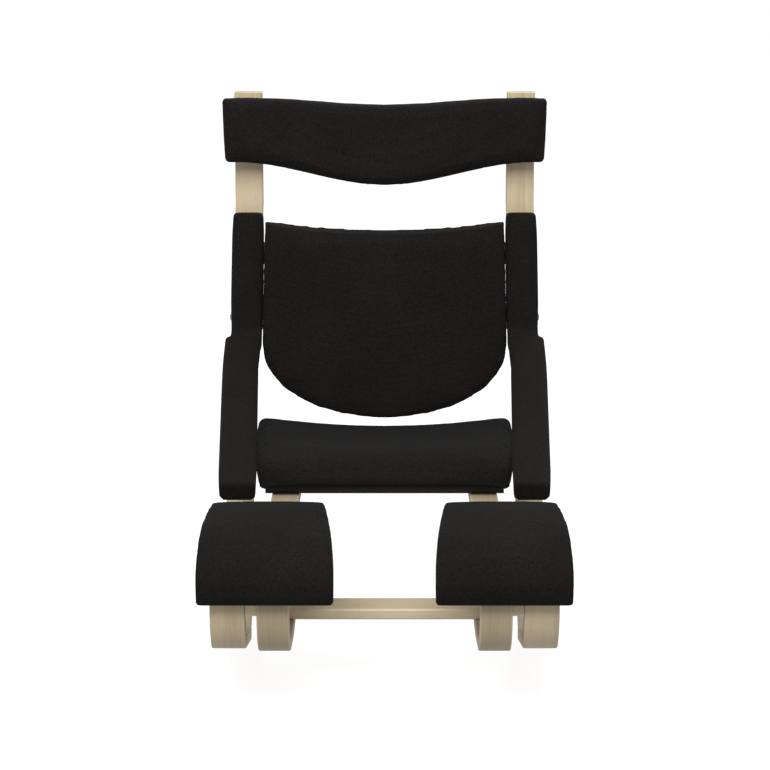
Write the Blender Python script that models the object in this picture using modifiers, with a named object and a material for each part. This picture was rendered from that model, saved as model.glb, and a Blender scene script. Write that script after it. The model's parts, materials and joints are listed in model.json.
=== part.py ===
"""Kneeling and reclining rocker chair: bent-wood side frames that carry padded seat, back, arms and leg pads.

The frame is X across the chair, -Y towards the sitter's feet, +Z up, in metres. Side profiles are drawn
in the Y-Z plane from the underside of the nose of the runners, and a parent empty then moves the whole
chair back so that the origin is under the middle of its box.
"""

import math

import bmesh
import bpy
from mathutils import Vector

# Driving dimensions
MIDDLE_Y = 0.4098
GAP = 0.0003
ARC_STEP = math.radians(12.0)

# The outer lamination of each side: nose, four flats to stand on, and a tail that climbs behind the post
RUNNER_THICK = 0.026
NOSE_CENTRE = (0.0256, 0.247)
RUNNER_BEND = 0.0865
LEG_BOARD_BEND = 0.107
FLAT_START = (0.4133, 0.013)
FLAT_END = (0.5634, 0.013)
STEEP_START = (0.6596, 0.0371)
TAIL_BEND = (0.8351, 0.1554)
TAIL_TOP = 0.390

# The lower stretch of each post is straight; heights above the floor are measured on its middle line
LAP_FOOT = (0.808, 0.150)
LAP_LEAN = math.atan2(0.030, 0.250)
POST_THICK = 0.026
POST_FOOT = 0.236
POST_KNEE = (0.862, 0.600)
POST_HIP = (0.882, 0.830)
POST_TOP = (0.8991, 1.071)
MID_LEAN = math.atan2(POST_HIP[0] - POST_KNEE[0], POST_HIP[1] - POST_KNEE[1])
UPPER_LEAN = math.atan2(POST_TOP[0] - POST_HIP[0], POST_TOP[1] - POST_HIP[1])

# The inner lamination of each side carries the seat
RAIL_THICK = 0.024
RAIL_FRONT = (0.290, 0.3405)
SEAT_DROP = 0.118
SEAT_SLOPE = math.atan(SEAT_DROP)
FOOT_BAR_DROP = math.atan2(0.006, 0.160)

# The bars that join both sides
CROSS_THICK = 0.025
REAR_BAR_HEIGHT = 0.290
REAR_BAR_SIZE = (0.698, CROSS_THICK, 0.088)
FOOT_BAR = (0.200, 0.12775)
FOOT_BAR_SIZE = (0.472, 0.070, 0.022)
SPACER_EDGES = (0.2388, 0.2596)
SPACER_OUTSIDE = 0.0985
SPACER_INSIDE = 0.0775
SPACER_REACH = math.radians(92)

BOARD = 0.009
ARM_THICK = 0.045
ARM_CORE_THICK = 0.013

BOLT_RADIUS = 0.004
HOLE_RADIUS = 0.0044
HEAD_RADIUS = 0.0085
HEAD_HEIGHT = 0.0035
FRAME_BOLTS_X = 0.3180
FRAME_BOLT_HEIGHTS = (0.268, 0.318)
RAIL_BOLT_X = 0.198
RAIL_BOLT_HEIGHT = 0.3235
NOSE_BOLT = (0.3260, -0.0350, 0.3085)
ARM_BOLTS = ((0.3015, 0.8665, 0.652), (0.2967, 0.8762, 0.762))
FOOT_BAR_BOLT_X = 0.208
SEAT_BOLTS_X = 0.1985
SEAT_BOLTS_Y = (0.370, 0.640)
LEG_BOLTS_Y = 0.110

# Upholstery
SEAT_FRONT = 0.300
SEAT_LENGTH = 0.402
SEAT_BOARD_FRONT = 0.331
SEAT_BOARD_LENGTH = 0.359
LEG_BOARD_THICK = 0.008
LEG_BOARD_REACH = math.radians(70)
BACK_HALF_WIDTH = 0.2665
BACK_WIDEST = 0.535
BACK_LOWEST = 0.378
BACK_LEAN = math.atan(0.150)
LOWER_RAIL = 0.580
UPPER_RAIL = 0.720
BACK_PADDING = 0.034
HEADREST_HALF_WIDTH = 0.343
HEADREST_FLARE = 0.005
HEADREST_HEIGHT = 0.990


def clear_scene():
    for old in list(bpy.data.objects):
        bpy.data.objects.remove(old, do_unlink=True)


def collection(name, shown=True):
    made = bpy.data.collections.new(name)
    bpy.context.scene.collection.children.link(made)
    made.hide_render = not shown
    return made


clear_scene()
CHAIR = collection("kneeling_chair")
CUTTERS = collection("kneeling_chair_cutters", shown=False)
ROOT = bpy.data.objects.new("chair_origin", None)
ROOT.location = (0.0, -MIDDLE_Y, 0.0)
CHAIR.objects.link(ROOT)


# Materials
def paint(name, colour, roughness, metallic=0.0):
    made = bpy.data.materials.new(name)
    made.use_nodes = True
    shader = made.node_tree.nodes["Principled BSDF"]
    shader.inputs["Base Color"].default_value = (*colour, 1.0)
    shader.inputs["Roughness"].default_value = roughness
    shader.inputs["Metallic"].default_value = metallic
    made.diffuse_color = (*colour, 1.0)
    return made


BEECH = paint("beech_lamination", (0.60, 0.50, 0.34), 0.45)
PLYWOOD = paint("birch_plywood", (0.52, 0.42, 0.28), 0.55)
FABRIC = paint("charcoal_fabric", (0.022, 0.020, 0.020), 0.9)
STEEL = paint("zinc_steel", (0.62, 0.62, 0.63), 0.35, 1.0)
KNOB_PLASTIC = paint("black_plastic", (0.02, 0.02, 0.02), 0.4)


# Building blocks
def finish(name, mesh, material, home=None):
    """One named part under the chair's origin."""
    made = bpy.data.objects.new(name, mesh)
    (home or CHAIR).objects.link(made)
    made.parent = ROOT
    if material:
        mesh.materials.append(material)
    return made


def smooth(part, angle=math.radians(32)):
    part.data.shade_smooth()
    part.data.set_sharp_from_angle(angle=angle)


def rounded_path(corners):
    """Points along a path of (y, z, radius) corners, with a circular arc at each inner corner.

    Returns [(Vector(y, z), place)], where place counts corners: 1.5 is half way from corner 1 to 2.
    """
    points = [(Vector(corners[0][:2]), 0.0)]
    for i in range(1, len(corners) - 1):
        corner = Vector(corners[i][:2])
        back = (Vector(corners[i - 1][:2]) - corner).normalized()
        ahead = (Vector(corners[i + 1][:2]) - corner).normalized()
        turn = math.pi - back.angle(ahead)
        reach = corners[i][2] * math.tan(turn / 2)
        centre = corner + (back + ahead).normalized() * (corners[i][2] / math.cos(turn / 2))
        start = corner + back * reach - centre
        end = corner + ahead * reach - centre
        if turn < math.radians(1.0):
            points.append((corner, float(i)))
            continue
        steps = max(2, math.ceil(turn / ARC_STEP))
        for k in range(steps + 1):
            share = k / steps
            arm = start.slerp(end, share)
            points.append((centre + arm.normalized() * corners[i][2], i + (share - 0.5) * 0.2))
    points.append((Vector(corners[-1][:2]), float(len(corners) - 1)))
    return points


def side_steps(path):
    """The unit normal of the path at each point, turned a quarter turn left of its direction."""
    normals = []
    for i in range(len(path)):
        before = path[max(i - 1, 0)][0]
        after = path[min(i + 1, len(path) - 1)][0]
        along = (after - before).normalized()
        normals.append(Vector((-along.y, along.x)))
    return normals


def at_place(values, place):
    """A value given at each corner, read between them."""
    low = min(int(place), len(values) - 2)
    share = place - low
    return values[low] * (1 - share) + values[low + 1] * share


def band(name, corners, centres, widths, thick, material, side=1, lift=0.0, edge=0.004):
    """A bent lamination: a strip along the path, centred on side * centres in X, thickened evenly."""
    path = rounded_path(corners)
    normals = side_steps(path)
    work = bmesh.new()
    rows = []
    for (point, place), normal in zip(path, normals):
        spot = point + normal * lift
        middle = side * at_place(centres, place)
        half = at_place(widths, place) / 2
        left = work.verts.new((middle - half, spot.x, spot.y))
        right = work.verts.new((middle + half, spot.x, spot.y))
        rows.append((left, right))
    for first, second in zip(rows, rows[1:]):
        work.faces.new((first[0], first[1], second[1], second[0]))
    mesh = bpy.data.meshes.new(name)
    work.to_mesh(mesh)
    work.free()
    made = finish(name, mesh, material)
    shell = made.modifiers.new("thickness", "SOLIDIFY")
    shell.thickness = thick
    shell.offset = 0.0
    shell.use_even_offset = True
    round_edges(made, edge)
    smooth(made)
    return made


def round_edges(part, width, segments=1, angle=math.radians(50)):
    bevel = part.modifiers.new("rounded edges", "BEVEL")
    bevel.width = width
    bevel.segments = segments
    bevel.limit_method = "ANGLE"
    bevel.angle_limit = angle


def block(name, centre, size, material, tilt=0.0, edge=0.003, home=None):
    """A rectangular piece, turned by tilt about X."""
    work = bmesh.new()
    bmesh.ops.create_cube(work, size=1.0)
    bmesh.ops.scale(work, vec=size, verts=work.verts)
    mesh = bpy.data.meshes.new(name)
    work.to_mesh(mesh)
    work.free()
    made = finish(name, mesh, material, home)
    made.location = centre
    made.rotation_euler = (tilt, 0.0, 0.0)
    if edge:
        round_edges(made, edge)
    return made


def round_bar(name, start, direction, radius, length, home, sides):
    """A cylinder from start, along direction."""
    work = bmesh.new()
    bmesh.ops.create_cone(
        work, cap_ends=True, segments=sides, radius1=radius, radius2=radius, depth=length
    )
    bmesh.ops.translate(work, vec=(0.0, 0.0, length / 2), verts=work.verts)
    mesh = bpy.data.meshes.new(name)
    work.to_mesh(mesh)
    work.free()
    made = finish(name, mesh, None, home)
    made.location = start
    made.rotation_euler = Vector(direction).to_track_quat("Z", "Y").to_euler()
    return made


def turned(name, start, direction, profile, material, steps=20):
    """A turned piece: profile is (radius, height) from the top of the axis down to its foot."""
    work = bmesh.new()
    spots = [work.verts.new((radius, 0.0, height)) for radius, height in profile]
    for first, second in zip(spots, spots[1:]):
        work.edges.new((first, second))
    mesh = bpy.data.meshes.new(name)
    work.to_mesh(mesh)
    work.free()
    made = finish(name, mesh, material)
    made.location = start
    made.rotation_euler = Vector(direction).to_track_quat("Z", "Y").to_euler()
    spin = made.modifiers.new("turning", "SCREW")
    spin.steps = steps
    spin.render_steps = steps
    spin.use_merge_vertices = True
    spin.merge_threshold = 0.00001
    return made


def drill(part, start, direction, length, radius=HOLE_RADIUS):
    """A round hole in part, from start along direction."""
    name = f"{part.name}_hole_{len(part.modifiers)}"
    cutter = round_bar(name, start, direction, radius, length, home=CUTTERS, sides=10)
    cutter.hide_render = True
    cutter.display_type = "WIRE"
    cut = part.modifiers.new("hole", "BOOLEAN")
    cut.operation = "DIFFERENCE"
    cut.object = cutter


def bolt(name, seat, direction, length):
    """A cap bolt: its head stands on the surface at seat, and its shank runs along direction."""
    along = Vector(direction).normalized()
    profile = (
        (0.0, HEAD_HEIGHT),
        (HEAD_RADIUS * 0.75, HEAD_HEIGHT),
        (HEAD_RADIUS, GAP),
        (BOLT_RADIUS, GAP),
        (BOLT_RADIUS, -length),
        (0.0, -length),
    )
    made = turned(name, Vector(seat), -along, profile, STEEL, steps=10)
    smooth(made)
    return made


def rim_of(grid):
    """The outer points of a grid of rows, in order round it."""
    right_side = [row[-1] for row in grid[1:-1]]
    left_side = [row[0] for row in grid[-2:0:-1]]
    return grid[0] + right_side + grid[-1][::-1] + left_side


def loft(name, front, back, columns, rows, material, edge=0.0):
    """A closed body between two like grids: front(u, v) and back(u, v), u from -1 to 1 and v from 0 to 1."""
    work = bmesh.new()
    grids = []
    for surface in (front, back):
        grids.append([
            [work.verts.new(surface(-1 + 2 * i / columns, j / rows)) for i in range(columns + 1)]
            for j in range(rows + 1)
        ])
    for grid in grids:
        for j in range(rows):
            for i in range(columns):
                work.faces.new((grid[j][i], grid[j][i + 1], grid[j + 1][i + 1], grid[j + 1][i]))
    near, far = rim_of(grids[0]), rim_of(grids[1])
    for k in range(len(near)):
        after = (k + 1) % len(near)
        work.faces.new((near[k], near[after], far[after], far[k]))
    bmesh.ops.recalc_face_normals(work, faces=work.faces)
    mesh = bpy.data.meshes.new(name)
    work.to_mesh(mesh)
    work.free()
    made = finish(name, mesh, material)
    if edge:
        round_edges(made, edge, segments=2)
    smooth(made)
    return made


def outline_body(name, outline, edges_x, material, edge=0.0):
    """A closed body with this outline in Y-Z; edges_x(y) gives where it starts and ends across."""
    work = bmesh.new()
    sides = []
    for which in (0, 1):
        sides.append([work.verts.new((edges_x(y)[which], y, z)) for y, z in outline])
    work.faces.new(sides[0])
    work.faces.new(sides[1])
    for k in range(len(outline)):
        after = (k + 1) % len(outline)
        work.faces.new((sides[0][k], sides[0][after], sides[1][after], sides[1][k]))
    bmesh.ops.recalc_face_normals(work, faces=work.faces)
    mesh = bpy.data.meshes.new(name)
    work.to_mesh(mesh)
    work.free()
    made = finish(name, mesh, material)
    if edge:
        round_edges(made, edge, segments=2)
    smooth(made)
    return made


def arc(centre, radius, first, last, steps):
    """Points (y, z) on a circle, from first to last in radians, measured from +Z towards -Y."""
    found = []
    for k in range(steps + 1):
        angle = first + (last - first) * k / steps
        found.append((centre[0] - radius * math.sin(angle), centre[1] + radius * math.cos(angle)))
    return found


# Places on the frame
def on_lap(height, offset=0.0):
    """(y, z) at this height on the straight lower stretch of a post, moved back by offset."""
    return (
        LAP_FOOT[0] + (height - LAP_FOOT[1]) * math.tan(LAP_LEAN) + offset * math.cos(LAP_LEAN),
        height - offset * math.sin(LAP_LEAN),
    )


def on_upper(height, offset=0.0):
    """(y, z) at this height on the straight upper stretch of a post, moved back by offset."""
    return (
        POST_TOP[0] + (height - POST_TOP[1]) * math.tan(UPPER_LEAN) + offset * math.cos(UPPER_LEAN),
        height - offset * math.sin(UPPER_LEAN),
    )


def rail_line(y):
    """The height of the middle of the seat rail's straight stretch."""
    return RAIL_FRONT[1] - SEAT_DROP * (y - RAIL_FRONT[0])


LAP_BACK = Vector((0.0, math.cos(LAP_LEAN), -math.sin(LAP_LEAN)))
MID_BACK = Vector((0.0, math.cos(MID_LEAN), -math.sin(MID_LEAN)))
UPPER_BACK = Vector((0.0, math.cos(UPPER_LEAN), -math.sin(UPPER_LEAN)))
SEAT_UP = Vector((0.0, math.sin(SEAT_SLOPE), math.cos(SEAT_SLOPE)))
FOOT_BAR_UP = Vector((0.0, math.sin(FOOT_BAR_DROP), math.cos(FOOT_BAR_DROP)))
CROSS_OFFSET = -(POST_THICK / 2 + GAP + CROSS_THICK / 2)
RAIL_END_OFFSET = CROSS_OFFSET - CROSS_THICK / 2 - GAP - RAIL_THICK / 2
TAIL_OFFSET = POST_THICK / 2 + GAP + RUNNER_THICK / 2

# Side frames: each path is (y, z, radius) corners, with a middle in X and a width at each corner
RUNNER_CORNERS = (
    (0.200, 0.3230, 0.0),
    (-0.0594, 0.3375, RUNNER_BEND),
    (-0.0594, 0.1850, RUNNER_BEND),
    (*FLAT_START, 0.060),
    (*FLAT_END, 0.060),
    (*STEEP_START, 0.060),
    (*TAIL_BEND, 0.150),
    (*on_lap(TAIL_TOP, TAIL_OFFSET), 0.0),
)
RUNNER_CENTRES = (0.2930, 0.2930, 0.2930, 0.3095, 0.3150, 0.3180, 0.3220, 0.3155)
RUNNER_WIDTHS = (0.066, 0.066, 0.066, 0.062, 0.061, 0.060, 0.060, 0.060)

POST_CORNERS = (
    (*on_lap(POST_FOOT), 0.0),
    (*on_lap(0.400), 0.0),
    (*POST_KNEE, 0.900),
    (*POST_HIP, 0.900),
    (*POST_TOP, 0.0),
)
POST_CENTRES = (0.3215, 0.3150, 0.3040, 0.2940, 0.2940)
POST_WIDTHS = (0.060, 0.060, 0.060, 0.060, 0.060)

RAIL_CORNERS = (
    (*on_lap(0.334, RAIL_END_OFFSET), 0.0),
    (0.7732, 0.2834, 0.030),
    (*RAIL_FRONT, 0.300),
    (0.140, 0.3325, 0.300),
    (-0.0644, 0.3360, 0.088),
    (-0.0644, 0.1700, 0.088),
    (0.140, 0.1300, 0.300),
    (0.300, 0.1240, 0.0),
)
RAIL_CENTRES = (0.1980, 0.1980, 0.1990, 0.2030, 0.2080, 0.2080, 0.2080, 0.2080)
RAIL_WIDTHS = (0.055, 0.055, 0.055, 0.058, 0.061, 0.061, 0.061, 0.061)

# Down the front of the post, round the elbow, over a broad shoulder and along the forearm
ARM_CORNERS = (
    (0.8445, 0.8150, 0.0),
    (0.8100, 0.5480, 0.045),
    (0.7525, 0.5316, 0.0),
    (0.6835, 0.5119, 0.0),
    (0.2350, 0.3840, 0.0),
)
ARM_CENTRES = (0.2961, 0.3030, 0.3072, 0.3090, 0.2916)
ARM_WIDTHS = (0.0674, 0.0702, 0.0772, 0.0752, 0.0748)


def build_nose_spacer(label, side):
    """The block that joins the two laminations in the curve of the nose."""
    outside = arc(NOSE_CENTRE, SPACER_OUTSIDE, 0.0, SPACER_REACH, 8)
    inside = arc(NOSE_CENTRE, SPACER_INSIDE, SPACER_REACH, 0.0, 8)

    def edges(_y):
        return [side * edge for edge in SPACER_EDGES]

    return outline_body(f"nose_spacer_{label}", outside + inside, edges, BEECH)


def build_side(label, side):
    """The laminations, spacer and arm of one side."""
    runner = band(
        f"runner_{label}", RUNNER_CORNERS, RUNNER_CENTRES, RUNNER_WIDTHS, RUNNER_THICK, BEECH, side
    )
    post = band(
        f"back_post_{label}", POST_CORNERS, POST_CENTRES, POST_WIDTHS, POST_THICK, BEECH, side
    )
    rail = band(
        f"seat_rail_{label}", RAIL_CORNERS, RAIL_CENTRES, RAIL_WIDTHS, RAIL_THICK, BEECH, side
    )
    core_lift = ARM_THICK / 2 - ARM_CORE_THICK / 2
    pad_thick = ARM_THICK - ARM_CORE_THICK - GAP
    pad_lift = -(ARM_THICK / 2 - pad_thick / 2)
    core = band(
        f"arm_core_{label}", ARM_CORNERS, ARM_CENTRES, [width - 0.006 for width in ARM_WIDTHS],
        ARM_CORE_THICK, PLYWOOD, side, lift=core_lift, edge=0.002,
    )
    band(
        f"arm_pad_{label}", ARM_CORNERS, ARM_CENTRES, ARM_WIDTHS,
        pad_thick, FABRIC, side, lift=pad_lift, edge=0.008,
    )
    return {
        "runner": runner,
        "post": post,
        "rail": rail,
        "core": core,
        "nose_spacer": build_nose_spacer(label, side),
    }


def build_crossbars():
    """The foot bar on the inner laminations, and the bar behind the seat that joins both posts."""
    lift = RAIL_THICK / 2 + GAP + FOOT_BAR_SIZE[2] / 2
    foot = Vector((0.0, *FOOT_BAR)) + FOOT_BAR_UP * lift
    front = block("front_crossbar", foot, FOOT_BAR_SIZE, BEECH, tilt=-FOOT_BAR_DROP)
    y, z = on_lap(REAR_BAR_HEIGHT, CROSS_OFFSET)
    rear = block("rear_crossbar", (0.0, y, z), REAR_BAR_SIZE, BEECH, tilt=-LAP_LEAN)
    return front, rear


def fasten(name, seat, direction, length, pieces):
    """A bolt with its head on seat, and its hole in each piece. The hole goes 1 mm deeper than the shank."""
    along = Vector(direction).normalized()
    bolt(name, seat, along, length)
    for piece in pieces:
        drill(piece, seat - along * 0.010, along, length + 0.011)


def bolt_together(label, side, pieces, front, rear):
    """Every bolt of one side frame."""
    inward = Vector((-side, 0.0, 0.0))
    for number, height in enumerate(FRAME_BOLT_HEIGHTS, start=1):
        y, z = on_lap(height, TAIL_OFFSET + RUNNER_THICK / 2)
        seat = Vector((side * FRAME_BOLTS_X, y, z))
        fasten(
            f"frame_bolt_{label}_{number}", seat, -LAP_BACK, 0.070,
            (pieces["runner"], pieces["post"], rear),
        )
    y, z = on_lap(RAIL_BOLT_HEIGHT, CROSS_OFFSET + CROSS_THICK / 2)
    fasten(
        f"rail_bolt_{label}", Vector((side * RAIL_BOLT_X, y, z)), -LAP_BACK, 0.042,
        (rear, pieces["rail"]),
    )
    nose = Vector((side * NOSE_BOLT[0], *NOSE_BOLT[1:]))
    fasten(
        f"nose_bolt_{label}", nose, inward, 0.138,
        (pieces["runner"], pieces["nose_spacer"], pieces["rail"]),
    )
    under = Vector((side * FOOT_BAR_BOLT_X, *FOOT_BAR)) - FOOT_BAR_UP * (RAIL_THICK / 2)
    fasten(f"foot_bar_bolt_{label}", under, FOOT_BAR_UP, 0.038, (pieces["rail"], front))


def bolt_arm(label, side, pieces):
    """Two bolts from behind each post into the plywood core of the arm."""
    for number, place in enumerate(ARM_BOLTS, start=1):
        x, y, z = place
        seat = Vector((side * x, y, z)) + MID_BACK * (POST_THICK / 2)
        fasten(f"arm_bolt_{label}_{number}", seat, -MID_BACK, 0.034, (pieces["post"], pieces["core"]))


def build_seat(pieces_by_side):
    """The seat board on both rails, its bolts from below, and the cushion."""
    lift = RAIL_THICK / 2 + 0.0005

    def board(height):
        def surface(u, v):
            y = SEAT_BOARD_FRONT + SEAT_BOARD_LENGTH * v
            z = rail_line(y) + (lift + height) / math.cos(SEAT_SLOPE)
            return (u * (0.240 + 0.018 * v), y, z)
        return surface

    pan = loft("seat_board", board(BOARD), board(0.0), 1, 1, PLYWOOD)

    def under(u, v):
        y = SEAT_FRONT + SEAT_LENGTH * v
        z = rail_line(y) + (lift + BOARD + GAP) / math.cos(SEAT_SLOPE)
        return (u * (0.254 + 0.021 * v), y, z)

    def over(u, v):
        x, y, z = under(u, v)
        plump = 0.066 + 0.016 * v - 0.022 * v * (1 - u * u)
        return (x, y, z + plump)

    loft("seat_cushion", over, under, 8, 4, FABRIC, edge=0.016)
    for label, side in SIDES:
        rail = pieces_by_side[label]["rail"]
        for number, y in enumerate(SEAT_BOLTS_Y, start=1):
            seat = Vector((side * SEAT_BOLTS_X, y, rail_line(y))) - SEAT_UP * (RAIL_THICK / 2)
            fasten(f"seat_bolt_{label}_{number}", seat, SEAT_UP, 0.030, (rail, pan))


def build_leg_pad(label, side, pieces):
    """A plywood board bent over the nose, and the thick pad that wraps it."""
    reach = LEG_BOARD_REACH
    corner = NOSE_CENTRE[0] - LEG_BOARD_BEND * math.tan(reach / 2)
    top = NOSE_CENTRE[1] + LEG_BOARD_BEND
    tail = LEG_BOARD_BEND * math.tan(reach / 2) + 0.012
    board_corners = (
        (0.200, top, 0.0),
        (corner, top, LEG_BOARD_BEND),
        (corner - math.cos(reach) * tail, top - math.sin(reach) * tail, 0.0),
    )
    board = band(
        f"leg_board_{label}", board_corners, (0.2240, 0.2215, 0.2205), (0.196, 0.226, 0.236),
        LEG_BOARD_THICK, PLYWOOD, side, edge=0.0,
    )
    clear = LEG_BOARD_THICK / 2 + 0.0012
    inner = [(0.207, top + clear)] + arc(NOSE_CENTRE, LEG_BOARD_BEND + clear, 0.0, reach, 8)
    foot = (inner[-1][0] - math.cos(reach) * 0.0115, inner[-1][1] - math.sin(reach) * 0.0115)
    outer = rounded_path((
        (foot[0] - 0.024, foot[1] + 0.005, 0.0),
        (-0.118, 0.342, 0.055),
        (-0.032, 0.4015, 0.110),
        (0.112, 0.4015, 0.250),
        (0.207, 0.3740, 0.0),
    ))
    outline = inner + [foot] + [tuple(point) for point, _place in outer]

    def edges(y):
        back = (y + 0.105) / 0.310
        return (side * (0.094 + 0.025 * back), side * (0.3490 - 0.0145 * back))

    outline_body(f"leg_pad_{label}", outline, edges, FABRIC, edge=0.006)
    places = (
        ("runner", RUNNER_THICK, 0.2930, 0.3280, 0.0560),
        ("rail", RAIL_THICK, 0.2035, 0.3330, 0.0),
    )
    for number, (piece, thick, x, height, slope) in enumerate(places, start=1):
        up = Vector((0.0, math.sin(slope), math.cos(slope)))
        seat = Vector((side * x, LEG_BOLTS_Y, height)) - up * (thick / 2)
        fasten(f"leg_bolt_{label}_{number}", seat, up, 0.031, (pieces[piece], board))


def back_line(height):
    """y on the back of the back panel's board, in the middle."""
    return 0.8430 + (height - 0.605) * math.tan(BACK_LEAN)


def back_front(u, height):
    """(x, y) on the back of the back panel's board, at this height."""
    narrow = 1.0 - 0.028 * max(0.0, height - BACK_WIDEST) / 0.261
    return u * BACK_HALF_WIDTH * narrow, back_line(height) - 0.012 * u * u


def back_grid(forward, inset=0.0):
    def surface(u, v):
        across = math.sin(u * math.pi / 2)
        shape = 1 - inset
        low = BACK_WIDEST - (BACK_WIDEST - BACK_LOWEST) * math.cos(u * math.pi / 2) * shape
        high = 0.774 + 0.022 * across * across - 0.022 * (inset > 0)
        height = low + (high - low) * v
        x, y = back_front(across * shape, height)
        return (x, y - forward, height)
    return surface


def build_back():
    """The bent board on its two rails, the cushion on it, and the screws that hold them."""
    loft("back_board", back_grid(BOARD, 0.07), back_grid(0.0, 0.07), 12, 4, PLYWOOD)
    behind = back_grid(BOARD + GAP)
    loft("back_cushion", back_grid(BOARD + GAP + BACK_PADDING), behind, 16, 5, FABRIC, edge=0.011)
    rails = []
    for name, height, length in (
        ("lower_back_rail", LOWER_RAIL, 0.5460), ("upper_back_rail", UPPER_RAIL, 0.5308)
    ):
        middle = (0.0, back_line(height) + 0.0126, height)
        rails.append(block(name, middle, (length, 0.024, 0.050), BEECH, tilt=-BACK_LEAN))
    return rails


def bolt_back(label, side, pieces, rails):
    """A bolt through each post into the end of each back rail."""
    for name, rail, x, y, height in (
        ("lower", rails[0], 0.3359, 0.8560, LOWER_RAIL), ("upper", rails[1], 0.3289, 0.8735, UPPER_RAIL)
    ):
        seat = Vector((side * x, y, height))
        fasten(f"{name}_back_bolt_{label}", seat, (-side, 0.0, 0.0), 0.090, (pieces["post"], rail))


def headrest_grid(forward, shrink=1.0):
    """The headrest curves back in the middle; its lower edge bellies and its top dips."""
    def surface(u, v):
        across = u * shrink
        belly = (1 + math.cos(min(1.0, abs(across) / 0.92) * math.pi)) / 2
        low = 0.9300 - 0.0480 * belly
        high = 1.0630 - 0.0140 * (1 + math.cos(min(1.0, abs(across) / 0.80) * math.pi)) / 2
        trim = (1 - shrink) * 0.35
        height = low + trim + (high - low - 2 * trim) * v
        y, z = on_upper(height, -(0.0311 + forward - 0.014 * (1 - across * across)))
        return (across * (HEADREST_HALF_WIDTH + HEADREST_FLARE * v ** 3), y, z)
    return surface


def build_headrest():
    loft("headrest_board", headrest_grid(0.004, 0.95), headrest_grid(-0.004, 0.95), 12, 2, PLYWOOD)
    loft("headrest_cushion", headrest_grid(0.0463), headrest_grid(0.0043), 16, 3, FABRIC, edge=0.011)


def build_clamp(label, side):
    """A steel saddle round the back of the post, open to the headrest board, and the knob that locks it."""
    y, z = on_upper(HEADREST_HEIGHT)
    centre = Vector((side * 0.2940, y, z))
    inner_x, wall, back, front = 0.0312, 0.003, 0.0172, 0.0206
    middle = centre + UPPER_BACK * ((back - front) / 2)
    saddle = block(
        f"headrest_clamp_{label}", middle, (2 * (inner_x + wall), back + front, 0.040),
        STEEL, tilt=-UPPER_LEAN, edge=0.0,
    )
    hollow = block(
        f"{saddle.name}_hollow", middle - UPPER_BACK * 0.013,
        (2 * inner_x, back + front + 0.020, 0.060), None, tilt=-UPPER_LEAN, edge=0.0, home=CUTTERS,
    )
    hollow.hide_render = True
    hollow.display_type = "WIRE"
    cut = saddle.modifiers.new("channel", "BOOLEAN")
    cut.operation = "DIFFERENCE"
    cut.object = hollow
    drill(saddle, centre + UPPER_BACK * 0.005, UPPER_BACK, 0.030, radius=0.0044)
    foot = centre + UPPER_BACK * (POST_THICK / 2 + 0.0006)
    standing = back - POST_THICK / 2 + 0.0006
    grip = (
        (0.0, standing + 0.020),
        (0.0150, standing + 0.020),
        (0.0175, standing + 0.016),
        (0.0175, standing + 0.007),
        (0.0100, standing),
        (0.0040, standing),
        (0.0040, 0.0),
        (0.0, 0.0),
    )
    knob = turned(f"clamp_knob_{label}", foot, UPPER_BACK, grip, KNOB_PLASTIC, steps=16)
    smooth(knob)


SIDES = (("left", 1), ("right", -1))
FRONT_BAR, REAR_BAR = build_crossbars()
BACK_RAILS = build_back()
PIECES = {}
for LABEL, SIDE in SIDES:
    PIECES[LABEL] = build_side(LABEL, SIDE)
    bolt_together(LABEL, SIDE, PIECES[LABEL], FRONT_BAR, REAR_BAR)
    bolt_arm(LABEL, SIDE, PIECES[LABEL])
    bolt_back(LABEL, SIDE, PIECES[LABEL], BACK_RAILS)
    build_leg_pad(LABEL, SIDE, PIECES[LABEL])
    build_clamp(LABEL, SIDE)
build_seat(PIECES)
build_headrest()
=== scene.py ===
"""The looks of the kneeling chair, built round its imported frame: bent wood, upholstery, hardware, light.

Side profiles are (y, z) in metres, drawn from the nose of the runners as the frame's own are.
Taking MIDDLE_Y off y brings them to the frame, whose origin is under the middle of the chair.
"""

import json
import math

import bmesh
import bpy
import numpy as np
from mathutils import Matrix, Vector
from mathutils.kdtree import KDTree

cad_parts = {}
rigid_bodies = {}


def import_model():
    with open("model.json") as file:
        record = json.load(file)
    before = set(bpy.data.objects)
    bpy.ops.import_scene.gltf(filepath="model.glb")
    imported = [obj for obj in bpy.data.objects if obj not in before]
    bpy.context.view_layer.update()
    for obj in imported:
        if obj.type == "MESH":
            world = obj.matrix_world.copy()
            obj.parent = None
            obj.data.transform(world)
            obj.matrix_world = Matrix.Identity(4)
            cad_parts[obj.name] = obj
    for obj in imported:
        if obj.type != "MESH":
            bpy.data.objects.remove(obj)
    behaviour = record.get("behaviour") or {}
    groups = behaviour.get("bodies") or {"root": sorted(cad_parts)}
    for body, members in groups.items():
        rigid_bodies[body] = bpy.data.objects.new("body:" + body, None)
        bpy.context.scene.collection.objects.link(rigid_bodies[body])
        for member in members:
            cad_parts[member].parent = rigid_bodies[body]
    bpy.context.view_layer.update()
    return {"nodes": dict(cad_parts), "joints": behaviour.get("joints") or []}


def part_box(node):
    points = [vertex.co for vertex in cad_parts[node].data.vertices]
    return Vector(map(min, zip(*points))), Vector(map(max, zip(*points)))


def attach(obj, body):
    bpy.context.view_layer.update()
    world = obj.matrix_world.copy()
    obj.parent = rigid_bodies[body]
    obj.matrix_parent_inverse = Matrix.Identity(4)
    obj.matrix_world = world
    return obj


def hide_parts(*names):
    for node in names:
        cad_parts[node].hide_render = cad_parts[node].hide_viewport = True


for old in list(bpy.data.objects):
    bpy.data.objects.remove(old, do_unlink=True)
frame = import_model()
NODES = frame["nodes"]
SIDES = (("left", 1), ("right", -1))

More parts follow.
